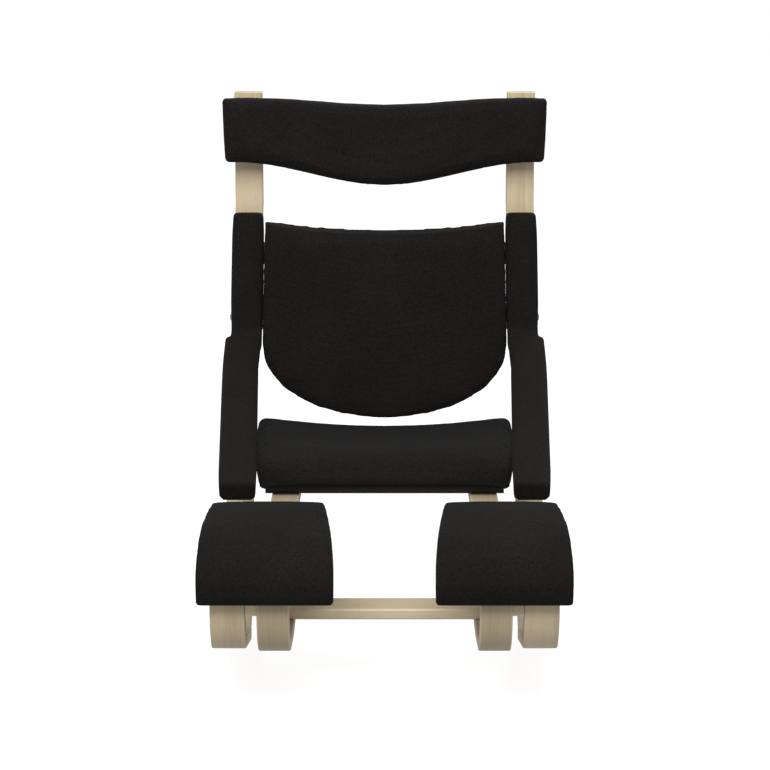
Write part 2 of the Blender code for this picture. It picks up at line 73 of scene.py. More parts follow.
# Driving dimensions of the frame, as in its own design
MIDDLE_Y = 0.4098
LAP_FOOT = (0.808, 0.150)
LAP_LEAN = math.atan2(0.030, 0.250)
POST_THICK = 0.026
RUNNER_THICK = 0.026
RAIL_THICK = 0.024
CROSS_THICK = 0.025
ARM_THICK = 0.045
GAP = 0.0003
TAIL_OFFSET = POST_THICK / 2 + GAP + RUNNER_THICK / 2
RAIL_END_OFFSET = -(POST_THICK / 2 + GAP + CROSS_THICK + GAP + RAIL_THICK / 2)

# How finely a lamination is divided, how its edges are eased, and how thick its plies are
ARC_STEP = math.radians(3.0)
RUN_STEP = 0.030
LEAST_STEP = 0.0004
EDGE_RADIUS = 0.0030
EDGE_STEPS = 3
END_EASE = 0.6
PLY = 0.0020

# Upholstery: remeshing and swelling
VOXEL = 0.0045
SHRINK = 0.0020
LAST_FRAME = 16
ARM_EDGE_RADIUS = 0.009
CLOTH = {
    "quality": 4,
    "mass": 0.3,
    "tension_stiffness": 18.0,
    "compression_stiffness": 18.0,
    "shear_stiffness": 8.0,
    "bending_stiffness": 0.6,
    "use_pressure": True,
}

# A pad's board side faces its board this squarely. A side wall turns from it, and starts above the board
LYING_FACING = 0.75
WALL_FACING = 0.45
WALL_FOOT = 0.004
# How many points of the board side are averaged, and what share of a pad is thinner than its full height
NEAR_POINTS = 8
THICK_PERCENTILE = 90

# Button-head screw with a hexagon socket: (radius, depth below its crown) from socket to shank
SCREW_HEAD = (
    (0.0, 0.0022),
    (0.0026, 0.0022),
    (0.0028, 0.0001),
    (0.0045, 0.0),
    (0.0062, 0.0006),
    (0.0078, 0.0018),
    (0.0085, 0.0030),
    (0.0085, 0.0034),
    (0.0040, 0.0034),
)
SHANK_RADIUS = 0.0040
SHANK_TIP_RADIUS = 0.0034
TIP_CHAMFER = 0.0006
SCREW_STEPS = 24
HEXAGON_REACH = 0.0034
HEAD_FROM = 0.006
RIM_TOLERANCE = 0.0005

# Lobed clamp knob: (radius, depth below the crown) from the crown to its stud
KNOB_GRIP = (
    (0.0, 0.0),
    (0.0060, 0.0002),
    (0.0115, 0.0010),
    (0.0150, 0.0026),
    (0.0170, 0.0050),
    (0.0175, 0.0075),
    (0.0175, 0.0120),
    (0.0160, 0.0145),
    (0.0115, 0.0180),
    (0.0100, 0.0200),
    (0.0040, 0.0202),
)
STUD_RADIUS = 0.0040
STUD_TIP_RADIUS = 0.0036
KNOB_STEPS = 72
LOBES = 6
LOBE_DEPTH = 0.0016
LOBES_FROM = 0.012
LOBES_OVER = 0.0055

# Materials: the roughness of lacquer, and the weave's threads
WOOD_ROUGHNESS = 0.42
THREAD = 0.0011
BANDS_PER_UNIT = 6.3
CROSS_THREAD = 0.6
WEAVE_CREST = 1.4 / 2.2

# Setting: (name, place, target, size, power) of each light, and the pale floor and sphere round the object
LIGHTS = (
    ("key", (-0.4, -2.8, 3.9), (0.0, 0.0, 0.5), 2.6, 185.0),
    ("back", (0.6, 2.6, 3.2), (0.0, 0.2, 0.6), 2.0, 45.0),
)
WORLD_STRENGTH = 0.46
SURROUND_GLOW = 0.88
FLOOR_REACH = 30.0
SURROUND_RADIUS = 28.0
FLOOR_DROP = 0.001
LENS = 110.7
SENSOR_WIDTH = 36.0
CAMERA_PLACE = (0.0008, -4.1879 - MIDDLE_Y, 1.8707)
CAMERA_TILT = math.radians(74.0)


# Materials
def shader_of(name, roughness, metallic=0.0):
    """A new material with its node tree, its principled shader, and a helper that adds a node."""
    made = bpy.data.materials.new(name)
    made.use_nodes = True
    tree = made.node_tree
    shader = tree.nodes["Principled BSDF"]
    shader.inputs["Roughness"].default_value = roughness
    shader.inputs["Metallic"].default_value = metallic

    def add(kind, **values):
        node = tree.nodes.new(kind)
        for key, value in values.items():
            if key in node.inputs:
                node.inputs[key].default_value = value
            else:
                setattr(node, key, value)
        return node

    return made, tree, shader, add


def ramp(tree, add, source, stops):
    """A colour ramp fed by source: stops are (place, colour)."""
    node = add("ShaderNodeValToRGB")
    while len(node.color_ramp.elements) < len(stops):
        node.color_ramp.elements.new(0.5)
    for element, (place, colour) in zip(node.color_ramp.elements, stops):
        element.position = place
        element.color = (*colour, 1.0)
    tree.links.new(source, node.inputs["Fac"])
    return node.outputs["Color"]


def mixed(tree, add, share, first, second, blend="MIX"):
    """Two colours mixed by share. Each of the three is a socket or a plain value."""
    node = add("ShaderNodeMix", data_type="RGBA", blend_type=blend)
    sockets = node.inputs
    for socket, value in ((sockets["Factor"], share), (sockets[6], first), (sockets[7], second)):
        if isinstance(value, bpy.types.NodeSocket):
            tree.links.new(value, socket)
        elif isinstance(value, (int, float)):
            socket.default_value = value
        else:
            socket.default_value = (*value, 1.0)
    return node.outputs[2]


def bump(tree, add, shader, height, distance, strength):
    """Relief of up to distance in metres, led by height."""
    node = add("ShaderNodeBump", Distance=distance, Strength=strength)
    tree.links.new(height, node.inputs["Height"])
    tree.links.new(node.outputs["Normal"], shader.inputs["Normal"])


def stretched(tree, add, place, scale):
    """A place, multiplied by scale on each axis."""
    node = add("ShaderNodeMapping", Scale=scale)
    tree.links.new(place, node.inputs["Vector"])
    return node.outputs["Vector"]


def noise(tree, add, place, **values):
    """Noise from 0 to 1, read at a place."""
    node = add("ShaderNodeTexNoise", **values)
    tree.links.new(place, node.inputs["Vector"])
    return node.outputs["Fac"]


def sum_of(tree, add, operation, *values):
    """A sum on up to three values, each a socket or a number."""
    node = add("ShaderNodeMath", operation=operation)
    for socket, value in zip(node.inputs, values):
        if isinstance(value, bpy.types.NodeSocket):
            tree.links.new(value, socket)
        else:
            socket.default_value = value
    return node.outputs[0]


def uneven_roughness(tree, add, shader, source, least, most):
    """Roughness between least and most, led by source."""
    node = add("ShaderNodeMapRange")
    node.inputs["To Min"].default_value = least
    node.inputs["To Max"].default_value = most
    tree.links.new(source, node.inputs["Value"])
    tree.links.new(node.outputs["Result"], shader.inputs["Roughness"])


def plies(tree, add, colour, dark):
    """The colour with each ply in its own tone, and a dark glue line between one ply and the next."""
    split = add("ShaderNodeSeparateXYZ")
    tree.links.new(add("ShaderNodeUVMap", uv_map="ply").outputs["UV"], split.inputs["Vector"])
    number = sum_of(tree, add, "MULTIPLY", split.outputs["Y"], 1.0 / PLY)
    layer = add("ShaderNodeTexWhiteNoise", noise_dimensions="1D")
    tree.links.new(sum_of(tree, add, "FLOOR", number), layer.inputs["W"])
    tone = ramp(tree, add, layer.outputs["Value"], ((0.0, (0.86, 0.85, 0.83)), (1.0, (1, 1, 1))))
    colour = mixed(tree, add, 1.0, colour, tone, "MULTIPLY")
    stops = ((0.0, (1, 1, 1)), (0.10, (0, 0, 0)), (0.90, (0, 0, 0)), (1.0, (1, 1, 1)))
    line = ramp(tree, add, sum_of(tree, add, "FRACT", number), stops)
    share = sum_of(tree, add, "MULTIPLY", line, 0.45)
    return mixed(tree, add, share, colour, [c * 0.45 for c in dark])


def wood(name, light, dark, by_path):
    """Lacquered wood, with its grain along a lamination and its plies shown if by_path, or else along X."""
    made, tree, shader, add = shader_of(name, WOOD_ROUGHNESS)
    shader.inputs["Coat Weight"].default_value = 0.12
    shader.inputs["Coat Roughness"].default_value = 0.35
    if by_path:
        place = add("ShaderNodeUVMap", uv_map="grain").outputs["UV"]
        fibre_scale = (7.0, 190.0, 1.0)
        figure_scale = (2.2, 26.0, 1.0)
    else:
        place = add("ShaderNodeTexCoord").outputs["Object"]
        fibre_scale = (7.0, 190.0, 190.0)
        figure_scale = (2.2, 26.0, 26.0)
    fibre_place = stretched(tree, add, place, fibre_scale)
    figure_place = stretched(tree, add, place, figure_scale)
    fibre = noise(tree, add, fibre_place, Scale=1.0, Detail=6.0, Roughness=0.62, Distortion=0.25)
    figure = noise(tree, add, figure_place, Scale=1.0, Detail=3.0, Roughness=0.5, Distortion=0.8)
    tone = mixed(tree, add, 0.55, fibre, figure)
    colour = ramp(tree, add, tone, ((0.30, dark), (0.52, light), (0.75, [c * 1.06 for c in light])))
    # Beech flecks: short darker rays along the grain
    fleck_place = stretched(tree, add, place, (45.0, 900.0, 900.0))
    fleck = noise(tree, add, fleck_place, Scale=1.0, Detail=1.0)
    flecks = ramp(tree, add, fleck, ((0.60, (0, 0, 0)), (0.70, (1, 1, 1))))
    share = sum_of(tree, add, "MULTIPLY", flecks, 0.28)
    colour = mixed(tree, add, share, colour, [c * 0.72 for c in dark])
    if by_path:
        colour = plies(tree, add, colour, dark)
    tree.links.new(colour, shader.inputs["Base Color"])
    uneven_roughness(tree, add, shader, tone, WOOD_ROUGHNESS - 0.07, WOOD_ROUGHNESS + 0.10)
    bump(tree, add, shader, tone, 0.00025, 0.35)
    return made


def woven(name, base, fleck):
    """A matt wool weave: threads along all three axes, a felted nap, and slow unevenness in tone."""
    made, tree, shader, add = shader_of(name, 0.92)
    shader.inputs["Sheen Weight"].default_value = 0.015
    shader.inputs["Sheen Roughness"].default_value = 0.5
    shader.inputs["Specular IOR Level"].default_value = 0.07
    place = add("ShaderNodeTexCoord").outputs["Object"]
    nap = noise(tree, add, place, Scale=900.0, Detail=3.0, Roughness=0.7)
    slow = noise(tree, add, place, Scale=9.0, Detail=3.0, Roughness=0.55)
    melange = noise(tree, add, place, Scale=330.0, Detail=2.0, Roughness=0.6)
    waves = []
    for direction in ("X", "Y", "Z"):
        wave = add("ShaderNodeTexWave", bands_direction=direction, wave_profile="SIN")
        wave.inputs["Scale"].default_value = 1.0 / (THREAD * BANDS_PER_UNIT)
        wave.inputs["Distortion"].default_value = 0.6
        wave.inputs["Detail Scale"].default_value = 2.0
        tree.links.new(place, wave.inputs["Vector"])
        waves.append(wave.outputs["Fac"])
    threads = waves[0]
    for wave in waves[1:]:
        threads = sum_of(tree, add, "MULTIPLY_ADD", wave, CROSS_THREAD, threads)
    colour = ramp(tree, add, melange, ((0.36, base), (0.62, fleck)))
    shade = ramp(tree, add, slow, ((0.30, (0.84, 0.84, 0.84)), (0.72, (1.08, 1.07, 1.06))))
    colour = mixed(tree, add, 1.0, colour, shade, "MULTIPLY")
    dip = ramp(tree, add, threads, ((0.35, (0.70, 0.70, 0.70)), (WEAVE_CREST, (1.0, 1.0, 1.0))))
    colour = mixed(tree, add, 1.0, colour, dip, "MULTIPLY")
    tree.links.new(colour, shader.inputs["Base Color"])
    bump(tree, add, shader, sum_of(tree, add, "MULTIPLY_ADD", nap, 0.9, threads), 0.0004, 0.55)
    return made


def stained_ply(name):
    """Black-stained plywood, with the grain just showing through."""
    made, tree, shader, add = shader_of(name, 0.55)
    place = stretched(tree, add, add("ShaderNodeTexCoord").outputs["Object"], (9.0, 160.0, 160.0))
    grain = noise(tree, add, place, Scale=1.0, Detail=5.0, Roughness=0.6, Distortion=0.3)
    stops = ((0.35, (0.012, 0.011, 0.010)), (0.65, (0.030, 0.027, 0.024)))
    tree.links.new(ramp(tree, add, grain, stops), shader.inputs["Base Color"])
    bump(tree, add, shader, grain, 0.0003, 0.4)
    return made


def plated_steel(name):
    """Bright zinc plate, faintly uneven in tone and finely scratched."""
    made, tree, shader, add = shader_of(name, 0.32, metallic=1.0)
    place = add("ShaderNodeTexCoord").outputs["Object"]
    cloud = noise(tree, add, place, Scale=60.0, Detail=4.0, Roughness=0.6)
    stops = ((0.3, (0.50, 0.50, 0.52)), (0.7, (0.66, 0.66, 0.66)))
    tree.links.new(ramp(tree, add, cloud, stops), shader.inputs["Base Color"])
    scratch_place = stretched(tree, add, place, (1500.0, 60.0, 60.0))
    scratch = noise(tree, add, scratch_place, Scale=1.0, Detail=2.0)
    uneven_roughness(tree, add, shader, scratch, 0.24, 0.44)
    bump(tree, add, shader, scratch, 0.0001, 0.2)
    return made


def moulded(name):
    """Black moulded plastic with a fine spark-eroded grain."""
    made, tree, shader, add = shader_of(name, 0.45)
    grain = noise(tree, add, add("ShaderNodeTexCoord").outputs["Object"], Scale=1400.0, Detail=2.0)
    stops = ((0.3, (0.012, 0.012, 0.012)), (0.7, (0.022, 0.022, 0.023)))
    tree.links.new(ramp(tree, add, grain, stops), shader.inputs["Base Color"])
    bump(tree, add, shader, grain, 0.0002, 0.3)
    return made


# The bent beech is a few per cent lighter than the solid beech. This is painted light for the upper posts,
# which stand nearer the key light
BENT_WOOD = wood("bent_beech_painted_light", (0.66, 0.54, 0.36), (0.52, 0.415, 0.26), by_path=True)
BAR_WOOD = wood("solid_beech", (0.64, 0.525, 0.355), (0.51, 0.405, 0.26), by_path=False)
FABRIC = woven("charcoal_wool", (0.0074, 0.0068, 0.0064), (0.0148, 0.0136, 0.0129))
STAINED = stained_ply("black_stained_ply")
STEEL = plated_steel("zinc_plate")
PLASTIC = moulded("black_moulded")


def dress(node, material):
    """Gives a CAD node that stays shown its material."""
    shown = NODES[node]
    shown.data.materials.clear()
    shown.data.materials.append(material)


# Bent wood
def rounded_path(corners):
    """Points along a path of (y, z, radius) corners, with a circular arc at each inner corner.

    Returns [(Vector(y, z), place)], where place counts corners: 1.5 is half way from corner 1 to 2.
    """
    points = [(Vector(corners[0][:2]), 0.0)]
    for i in range(1, len(corners) - 1):
        corner = Vector(corners[i][:2])
        back = (Vector(corners[i - 1][:2]) - corner).normalized()
        ahead = (Vector(corners[i + 1][:2]) - corner).normalized()
        turn = math.pi - back.angle(ahead)
        if turn < math.radians(1.0):
            points.append((corner, float(i)))
            continue
        reach = corners[i][2] * math.tan(turn / 2)
        centre = corner + (back + ahead).normalized() * (corners[i][2] / math.cos(turn / 2))
        start = corner + back * reach - centre
        end = corner + ahead * reach - centre
        steps = max(3, math.ceil(turn / ARC_STEP))
        for k in range(steps + 1):
            share = k / steps
            arm = start.slerp(end, share)
            points.append((centre + arm.normalized() * corners[i][2], i + (share - 0.5) * 0.2))
    points.append((Vector(corners[-1][:2]), float(len(corners) - 1)))
    return points


def even_path(corners):
    """The rounded path, with its straight runs divided too."""
    path = rounded_path(corners)
    found = [path[0]]
    for (first, place), (second, other) in zip(path, path[1:]):
        distance = (second - first).length
        if distance < LEAST_STEP:
            continue
        count = max(1, math.ceil(distance / RUN_STEP))
        for k in range(1, count + 1):
            share = k / count
            found.append((first.lerp(second, share), place + (other - place) * share))
    return found


def at_place(values, place):
    """A value given at each corner, read between them."""
    low = min(int(place), len(values) - 2)
    share = place - low
    return values[low] * (1 - share) + values[low + 1] * share


def rounded_section(half_width, half_thick, radius):
    """A rounded rectangle as (across, through) points, anticlockwise."""
    points = []
    for quarter, (right, front) in enumerate(((1, 1), (-1, 1), (-1, -1), (1, -1))):
        for step in range(EDGE_STEPS + 1):
            angle = math.radians(90 * quarter + 90 * step / EDGE_STEPS)
            across = right * (half_width - radius) + radius * math.cos(angle)
            through = front * (half_thick - radius) + radius * math.sin(angle)
            points.append((across, through))
    return points


def rings_along(corners, ease):
    """(point, normal, place, length so far, inset) of each cross-section. Both ends close in by ease."""
    path = even_path(corners)
    last = len(path) - 1
    rings = []
    length = 0.0
    for i, (point, place) in enumerate(path):
        before = path[max(i - 1, 0)][0]
        after = path[min(i + 1, last)][0]
        along = (after - before).normalized()
        normal = Vector((-along.y, along.x))
        if i:
            length += (point - before).length
        if i == 0:
            rings.append((point, normal, place, length, ease))
            point = point + along * ease
        if i == last:
            rings.append((point - along * ease, normal, place, length, 0.0))
            rings.append((point, normal, place, length, ease))
        else:
            rings.append((point, normal, place, length, 0.0))
    return rings


def sweep(name, corners, centres, widths, thick, side, radius=EDGE_RADIUS):
    """A bent lamination with eased edges. Its UV maps hold its length, width and ply depth in metres."""
    work = bmesh.new()
    grain = work.loops.layers.uv.new("grain")
    ply = work.loops.layers.uv.new("ply")
    marks = {}
    grid = []
    for spot, normal, place, run, inset in rings_along(corners, radius * END_EASE):
        middle = side * at_place(centres, place)
        half = at_place(widths, place) / 2 - inset
        row = []
        for across, through in rounded_section(half, thick / 2 - inset, radius):
            where = spot + normal * through
            vert = work.verts.new((middle + across, where.x - MIDDLE_Y, where.y))
            marks[vert] = (run, across, through)
            row.append(vert)
        grid.append(row)
    size = len(grid[0])
    for low, high in zip(grid, grid[1:]):
        for k in range(size):
            after = (k + 1) % size
            work.faces.new((low[k], low[after], high[after], high[k]))
    work.faces.new(grid[0][::-1])
    work.faces.new(grid[-1])
    bmesh.ops.recalc_face_normals(work, faces=work.faces)
    for face in work.faces:
        for loop in face.loops:
            run, across, through = marks[loop.vert]
            loop[grain].uv = (run, across + side)
            loop[ply].uv = (run, through + 0.5)
    mesh = bpy.data.meshes.new(name)
    work.to_mesh(mesh)
    work.free()
    mesh.materials.append(BENT_WOOD)
    made = bpy.data.objects.new(name, mesh)
    bpy.context.scene.collection.objects.link(made)
    mesh.shade_smooth()
    mesh.set_sharp_from_angle(angle=math.radians(40))
    return made


def on_lap(height, offset=0.0):
    """(y, z) at this height on the straight lower stretch of a post, moved back by offset."""
    return (
        LAP_FOOT[0] + (height - LAP_FOOT[1]) * math.tan(LAP_LEAN) + offset * math.cos(LAP_LEAN),
        height - offset * math.sin(LAP_LEAN),
    )


# Each lamination: corners (y, z, radius), then the middle in X and the width at each corner
LAMINATIONS = {
    "runner": (
        (
            (0.200, 0.3230, 0.0),
            (-0.0594, 0.3375, 0.0865),
            (-0.0594, 0.1850, 0.0865),
            (0.4133, 0.013, 0.060),
            (0.5634, 0.013, 0.060),
            (0.6596, 0.0371, 0.060),
            (0.8351, 0.1554, 0.150),
            (*on_lap(0.390, TAIL_OFFSET), 0.0),
        ),
        (0.2930, 0.2930, 0.2930, 0.3095, 0.3150, 0.3180, 0.3220, 0.3155),
        (0.066, 0.066, 0.066, 0.062, 0.061, 0.060, 0.060, 0.060),
        RUNNER_THICK,
    ),
    "back_post": (
        (
            (*on_lap(0.236), 0.0),
            (*on_lap(0.400), 0.0),
            (0.862, 0.600, 0.900),
            (0.882, 0.830, 0.900),
            (0.8991, 1.071, 0.0),
        ),
        (0.3215, 0.3150, 0.3040, 0.2940, 0.2940),
        (0.060, 0.060, 0.060, 0.060, 0.060),
        POST_THICK,
    ),
    "seat_rail": (
        (
            (*on_lap(0.334, RAIL_END_OFFSET), 0.0),
            (0.7732, 0.2834, 0.030),
            (0.290, 0.3405, 0.300),
            (0.140, 0.3325, 0.300),
            (-0.0644, 0.3360, 0.088),
            (-0.0644, 0.1700, 0.088),
            (0.140, 0.1300, 0.300),
            (0.300, 0.1240, 0.0),
        ),
        (0.1980, 0.1980, 0.1990, 0.2030, 0.2080, 0.2080, 0.2080, 0.2080),
        (0.055, 0.055, 0.055, 0.058, 0.061, 0.061, 0.061, 0.061),
        RAIL_THICK,
    ),
}


def make_laminations():
    for kind, (corners, centres, widths, thick) in LAMINATIONS.items():
        for label, side in SIDES:
            node = f"{kind}_{label}"
            made = sweep(f"{node}_lamination", corners, centres, widths, thick, side)
            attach(made, "frame")
            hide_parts(node)


# Upholstery: each pad swells under cloth pressure from its CAD solid, and stays flat on its board
def evaluated_copy(source):
    """A new mesh of the object with its modifiers applied."""
    graph = bpy.context.evaluated_depsgraph_get()
    graph.update()
    return bpy.data.meshes.new_from_object(source.evaluated_get(graph), depsgraph=graph)


def points_of(mesh):
    found = np.empty(len(mesh.vertices) * 3)
    mesh.vertices.foreach_get("co", found)
    return found.reshape(-1, 3)


def set_points(mesh, points):
    mesh.vertices.foreach_set("co", points.astype(np.float32).ravel())
    mesh.update()


def normals_of(mesh):
    found = np.empty(len(mesh.vertices) * 3)
    mesh.vertices.foreach_get("normal", found)
    return found.reshape(-1, 3)


# Down the front of the post, round the elbow, over a broad shoulder and along the forearm
ARM_CORNERS = (
    (0.8445, 0.8150, 0.0),
    (0.8100, 0.5480, 0.045),
    (0.7784, 0.5390, 0.0),
    (0.6835, 0.5119, 0.0),
    (0.2350, 0.3840, 0.0),
)
ARM_CENTRES = (0.2961, 0.3020, 0.3085, 0.3090, 0.2916)
ARM_WIDTHS = (0.0674, 0.0702, 0.0790, 0.0760, 0.0748)


def first_shape(name, nodes):
    """What a pad starts from: its CAD solid, or a whole padded sleeve for an arm."""
    if len(nodes) == 1:
        made = bpy.data.objects.new(name, NODES[nodes[0]].data.copy())
        bpy.context.scene.collection.objects.link(made)
        made.data.materials.clear()
        return made
    side = 1 if name.endswith("left") else -1
    return sweep(name, ARM_CORNERS, ARM_CENTRES, ARM_WIDTHS, ARM_THICK, side, radius=ARM_EDGE_RADIUS)


def box_of(nodes):
    """The lowest and highest corner of several CAD nodes together."""
    corners = [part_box(node) for node in nodes]
    low = np.array([corner[0] for corner in corners]).min(axis=0)
    high = np.array([corner[1] for corner in corners]).max(axis=0)
    return low, high


def tree_of(points):
    tree = KDTree(len(points))
    for number, point in enumerate(points):
        tree.insert(point, number)
    tree.balance()
    return tree


def crown(mesh, lying, reach, depth, only_front):
    """Rounds a pad off: within reach of its side walls it sinks towards its board, by depth at the walls.

    only_front does so along the pad's front edge alone, as on the front of a seat.
    """
    points = points_of(mesh)
    board = tree_of(points[lying])
    down = np.empty_like(points)
    for number, point in enumerate(points):
        near = np.array([found[0] for found in board.find_n(point, NEAR_POINTS)])
        down[number] = near.mean(axis=0) - point
    height = np.maximum(np.linalg.norm(down, axis=1), 1e-6)
    if only_front:
        away = points[:, 1] - points[:, 1].min()
    else:
        facing = np.abs((normals_of(mesh) * down).sum(axis=1)) / height
        walls = tree_of(points[(facing < WALL_FACING) & ~lying & (height > WALL_FOOT)])
        away = np.array([walls.find(point)[2] for point in points])
    share = 1.0 - np.clip(away / reach, 0.0, 1.0)
    sink = depth * (1.0 - np.sqrt(1.0 - share ** 2))
    thick = np.percentile(height[~lying], THICK_PERCENTILE)
    set_points(mesh, points + down * (sink / thick)[:, None] * (~lying)[:, None])


def start_pad(name, nodes, towards_board, form):
    """The pad's first shape, remeshed, rounded off and made a little small, with its cloth ready."""
    source = first_shape(name, nodes)
    remesh = source.modifiers.new("even faces", "REMESH")
    remesh.mode = "VOXEL"
    remesh.voxel_size = VOXEL
    soften = source.modifiers.new("soft corners", "SMOOTH")
    soften.factor = 0.5
    soften.iterations = form["smoothing"]
    mesh = evaluated_copy(source)
    source.modifiers.clear()
    source.data = mesh
    lying = (normals_of(mesh) @ np.array(towards_board)) > LYING_FACING
    for reach, depth, only_front in form["roundings"]:
        crown(mesh, lying, reach, depth, only_front)
    points = points_of(mesh) - normals_of(mesh) * SHRINK * (~lying)[:, None]
    set_points(mesh, points)
    held = source.vertex_groups.new(name="on the board")
    held.add([int(i) for i in np.nonzero(lying)[0]], 1.0, "REPLACE")
    cloth = source.modifiers.new("swelling", "CLOTH")
    settings = cloth.settings
    for key, value in CLOTH.items():
        setattr(settings, key, value)
    settings.uniform_pressure_force = form["pressure"]
    settings.vertex_group_mass = held.name
    settings.effector_weights.gravity = 0.0
    cloth.point_cache.frame_start = 1
    cloth.point_cache.frame_end = LAST_FRAME
    return {"object": source, "nodes": nodes, "start": points, "form": form}


def settle(pads):
    """Runs the cloth of all pads together. Each keeps to its cap, then fills the box of its CAD solids."""
    scene = bpy.context.scene
    scene.frame_start = 1
    scene.frame_end = LAST_FRAME
    for number in range(1, LAST_FRAME + 1):
        scene.frame_set(number)
    for pad in pads:
        made, start, form = pad["object"], pad["start"], pad["form"]
        points = points_of(evaluated_copy(made))
        moved = points - start
        size = np.linalg.norm(moved, axis=1)[:, None]
        moved *= np.minimum(1.0, form["cap"] / np.maximum(size, 1e-9))
        points = start + moved
        low, high = box_of(pad["nodes"])
        low = low - (0.0, 0.0, form["hang"])
        high = high + (0.0, 0.0, form["rise"])
        span = points.max(axis=0) - points.min(axis=0)
        made.modifiers.clear()
        set_points(made.data, low + (points - points.min(axis=0)) * (high - low) / span)
    scene.frame_set(1)


def finish_pad(pad, body):
    """Covers a settled pad, smooths it once more, and sets it on the body it rides on."""
    made = pad["object"]
    made.data.materials.clear()
    made.data.materials.append(FABRIC)
    made.data.shade_smooth()
    fine = made.modifiers.new("fine", "SUBSURF")
    fine.levels = 1
    fine.render_levels = 1
    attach(made, body)
    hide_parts(*pad["nodes"])


# Each pad's form. A rounding is (reach, depth, only along the front). cap is how far a point may swell.
# hang and rise are how far the pad goes below and above the box of its solids.
FORMS = {
    "seat": {
        "roundings": ((0.095, 0.048, True), (0.026, 0.018, False)),
        "pressure": 2.0, "cap": 0.004, "smoothing": 6, "hang": 0.001, "rise": 0.007, "fill": 0.75,
    },
    "back": {
        "roundings": ((0.050, 0.014, False),),
        "pressure": 2.0, "cap": 0.004, "smoothing": 3, "hang": 0.009, "rise": 0.001, "fill": 0.7,
    },
    "headrest": {
        "roundings": ((0.035, 0.010, False),),
        "pressure": 2.0, "cap": 0.004, "smoothing": 3, "hang": 0.009, "rise": -0.002, "fill": 0.7,
    },
    "leg": {
        "roundings": ((0.030, 0.012, False),),
        "pressure": 1.0, "cap": 0.002, "smoothing": 2, "hang": 0.004, "rise": 0.001, "fill": 0.75,
    },
    "arm": {
        "roundings": (),
        "pressure": 1.0, "cap": 0.002, "smoothing": 2, "hang": 0.0, "rise": 0.0, "fill": 0.7,
    },
}
BELOW = (0.0, 0.0, -1.0)
BEHIND = (0.0, 1.0, 0.0)
UNDER_LEG = (0.0, 0.5, -0.85)
UNDER_ARM = (0.0, 0.4, -0.9)
# Each pad: its form, name, the CAD nodes it stands for, the direction of its board, and its body
PADS = (
    ("seat", "seat_pad", ("seat_cushion",), BELOW, "frame"),
    ("back", "back_pad", ("back_cushion",), BEHIND, "frame"),
    ("headrest", "headrest_pad", ("headrest_cushion",), BEHIND, "headrest"),
    ("leg", "leg_cover_left", ("leg_pad_left",), UNDER_LEG, "frame"),
    ("leg", "leg_cover_right", ("leg_pad_right",), UNDER_LEG, "frame"),
    ("arm", "arm_cover_left", ("arm_pad_left", "arm_core_left"), UNDER_ARM, "frame"),
    ("arm", "arm_cover_right", ("arm_pad_right", "arm_core_right"), UNDER_ARM, "frame"),
)


def make_upholstery():
    pads = [start_pad(name, nodes, board, FORMS[form]) for form, name, nodes, board, _body in PADS]
    settle(pads)
    for pad, (_form, _name, _nodes, _board, body) in zip(pads, PADS):
        finish_pad(pad, body)


# Hardware
def turned_mesh(name, profile, steps, material, shape):
    """A closed mesh turned about +Z.

    The profile is (radius, height) from top to foot, and starts and ends on the axis. shape(angle, radius)
    gives the radius at an angle.
    """
    work = bmesh.new()
    rings = []
    for radius, height in profile:
        if radius == 0.0:
            rings.append([work.verts.new((0.0, 0.0, height))])
            continue
        ring = []
        for k in range(steps):
            angle = 2 * math.pi * k / steps
            reach = shape(angle, radius)
            ring.append(work.verts.new((reach * math.cos(angle), reach * math.sin(angle), height)))
        rings.append(ring)
    for high, low in zip(rings, rings[1:]):
        for k in range(steps):
            after = (k + 1) % steps
            if len(high) == 1:
                work.faces.new((high[0], low[k], low[after]))
            elif len(low) == 1:
                work.faces.new((high[k], low[0], high[after]))
            else:
                work.faces.new((high[k], low[k], low[after], high[after]))
    bmesh.ops.recalc_face_normals(work, faces=work.faces)
    mesh = bpy.data.meshes.new(name)
    work.to_mesh(mesh)
    work.free()
    mesh.materials.append(material)
    mesh.shade_smooth()
    mesh.set_sharp_from_angle(angle=math.radians(35))
    return mesh


def placed(name, mesh, origin, upward):
    """A new object with its origin here and its +Z along upward."""
    made = bpy.data.objects.new(name, mesh)
    bpy.context.scene.collection.objects.link(made)
    turn = upward.to_track_quat("Z", "Y").to_matrix().to_4x4()
    made.matrix_world = Matrix.Translation(origin) @ turn
    return made


def axis_of(node):
    """The crown's centre, the outward direction and the whole length of a bolt node."""
    points = points_of(NODES[node].data)
    middle = points.mean(axis=0)
    axes = np.linalg.svd(points - middle)[2]
    out = axes[0]
    along = (points - middle) @ out
    radius = np.linalg.norm(points - middle - np.outer(along, out), axis=1)
    if along[radius > HEAD_FROM].mean() < 0:
        out = -out
        along = -along
    rim = points[np.abs(radius - radius.max()) < RIM_TOLERANCE].mean(axis=0)
    crown_middle = rim + out * (along.max() - (rim - middle) @ out)
    return Vector(crown_middle), Vector(out), float(along.max() - along.min())


def hexagon(angle, radius):
    """Six-sided up to HEXAGON_REACH from the axis, and round beyond."""
    if radius > HEXAGON_REACH:
        return radius
    return radius / math.cos((angle + math.pi / 6) % (math.pi / 3) - math.pi / 6)


def lobed(angle, radius):
    """Hollowed between the lobes, more so towards the rim."""
    depth = max(0.0, (radius - LOBES_FROM) / LOBES_OVER) * LOBE_DEPTH
    return radius - depth * (0.5 - 0.5 * math.cos(LOBES * angle))


